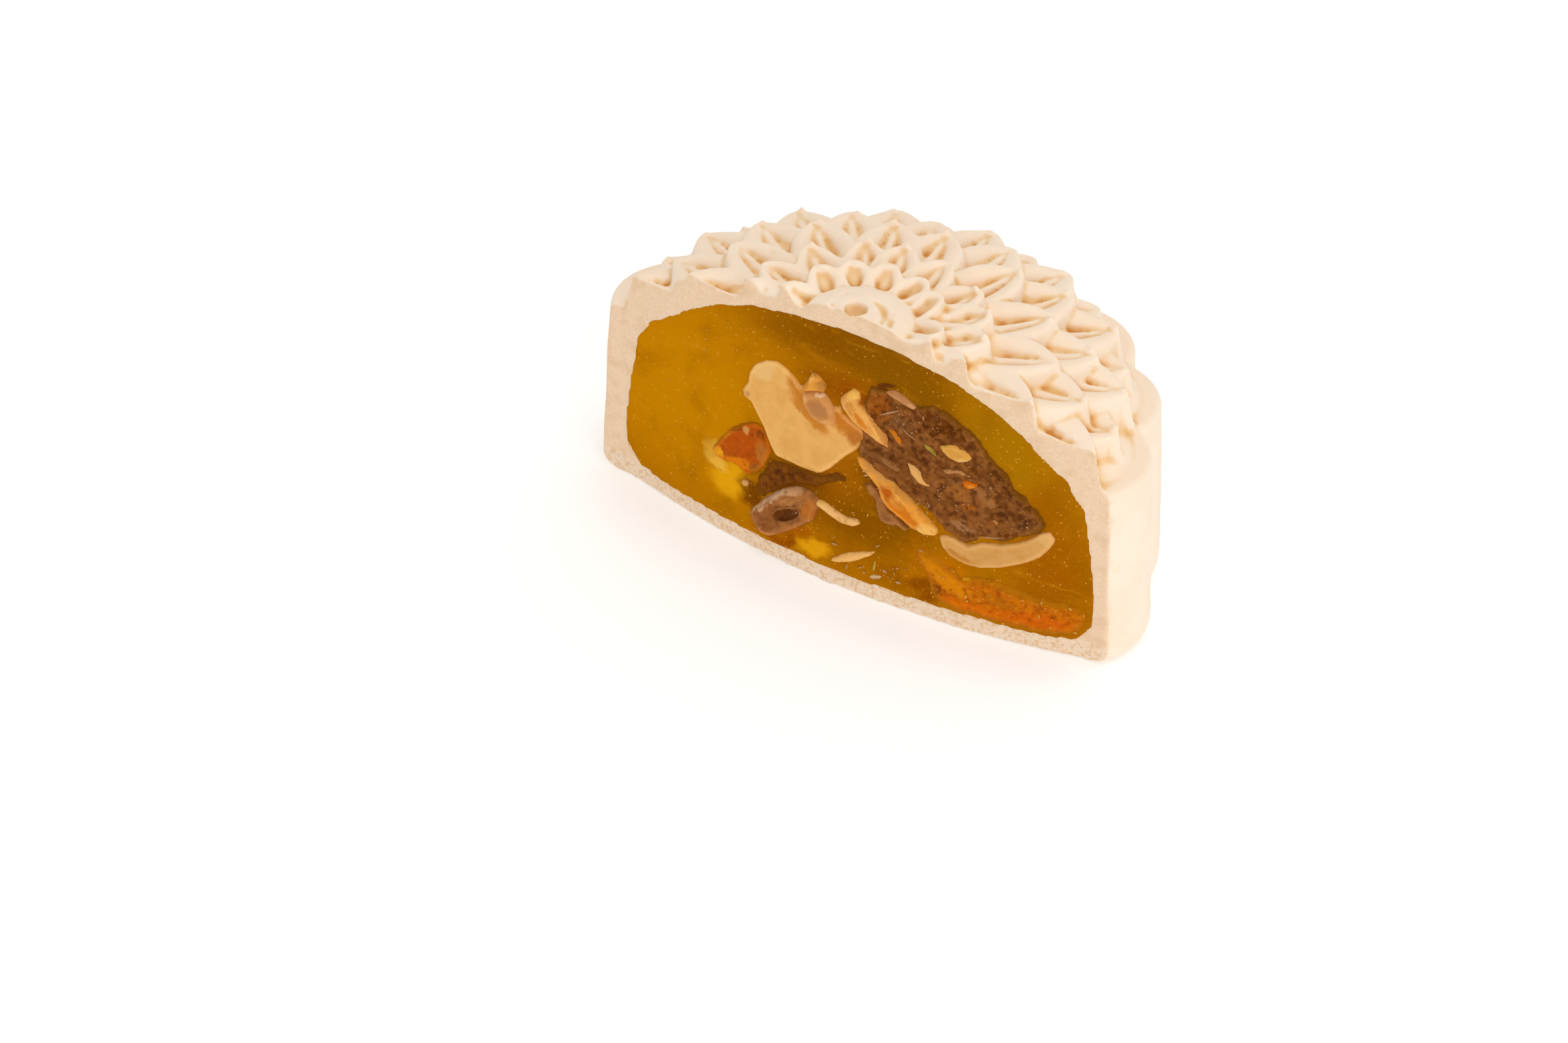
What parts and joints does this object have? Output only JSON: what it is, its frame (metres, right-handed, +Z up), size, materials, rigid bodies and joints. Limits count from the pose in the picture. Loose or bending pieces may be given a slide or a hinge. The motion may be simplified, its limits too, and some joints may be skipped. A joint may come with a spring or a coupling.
{
  "type": "golden fungus mooncake",
  "caption": "Half of a round mooncake, cut through: white skin with a scalloped wall and pressed petals over amber jelly with nuts, seeds and brown fungus.",
  "frame": {"origin": "middle of the bounding box at the base, on the surface that the half cake rests on", "axes": "+Z up, +X along the cut towards its right end, -Y out of the cut face"},
  "size_m": [0.084, 0.0466, 0.0431],
  "materials": {
    "skin": "matte steamed rice dough, cream white",
    "jelly": "clear amber jelly, moist",
    "pale_nut": "pale cut nut, fine-grained",
    "almond": "almond sliver, glazed orange",
    "brown_nut": "browned nut and bran",
    "seed": "pale seed, slightly glossy",
    "candied_fruit": "candied fruit, clear orange",
    "fungus": "dark brown fungus, moist",
    "mushroom": "taupe mushroom, soft sheen"
  },
  "bodies": {
    "root": {"skin": "skin", "jelly": "jelly", "almond_chip": "brown_nut", "almond_upper": "almond", "almond_lower": "almond", "bran_sliver": "brown_nut", "melon_seed": "seed", "pine_seed": "seed", "orange_bit": "candied_fruit", "round_nut": "brown_nut", "brown_sliver": "brown_nut", "mushroom_curl": "mushroom", "pale_strip": "pale_nut", "nut_slice": "pale_nut", "cashew_slice": "pale_nut", "base_sliver": "pale_nut", "amber_fruit": "candied_fruit", "candied_peel": "candied_fruit", "fungus_shred": "fungus", "brown_fungus": "fungus"}
  },
  "joints": []
}
